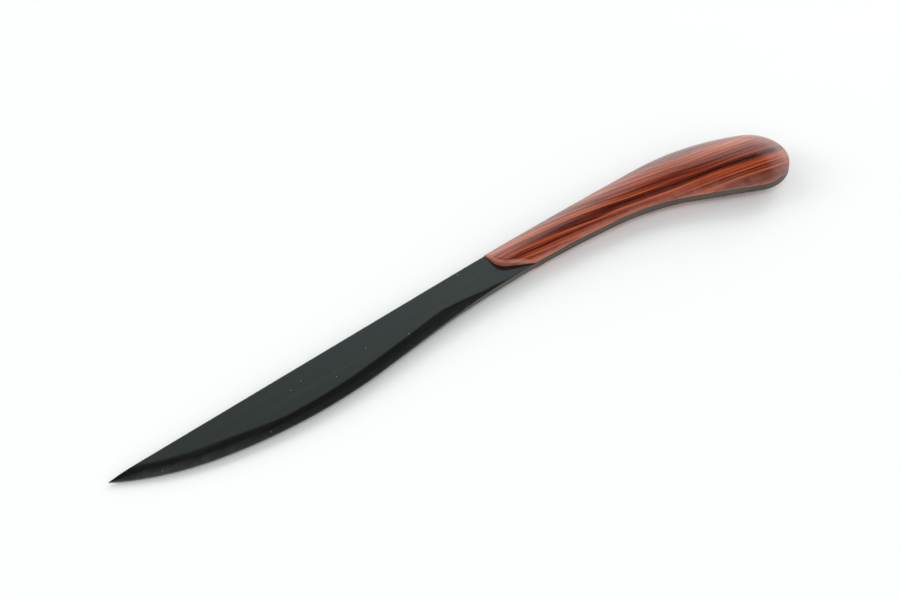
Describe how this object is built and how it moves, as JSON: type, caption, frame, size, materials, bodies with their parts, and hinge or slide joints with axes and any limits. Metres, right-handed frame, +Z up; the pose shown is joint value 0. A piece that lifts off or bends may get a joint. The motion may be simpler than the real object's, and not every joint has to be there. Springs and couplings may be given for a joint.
{
  "type": "wooden paper folder",
  "caption": "Slim wooden paper folder with a black bevelled blade, a swept tip and a domed striped-wood handle that swells to a round, downturned butt.",
  "frame": {"origin": "on the surface that the folder lies on, under the middle of its bounding box", "axes": "+X runs along the spine from the tip to the butt, +Y is the spine's side, +Z is up from the surface"},
  "size_m": [0.2164, 0.0312, 0.0095],
  "materials": {
    "ebony": "polished, nearly black",
    "cocobolo": "polished, orange and red-brown with dark stripes along the handle",
    "glue": "cured dark glue",
    "dowel_wood": "plain hardwood"
  },
  "bodies": {
    "root": {"blade": "ebony", "front_scale": "cocobolo", "back_scale": "cocobolo", "front_glue_line": "glue", "back_glue_line": "glue", "front_dowel": "dowel_wood", "rear_dowel": "dowel_wood"}
  },
  "joints": []
}
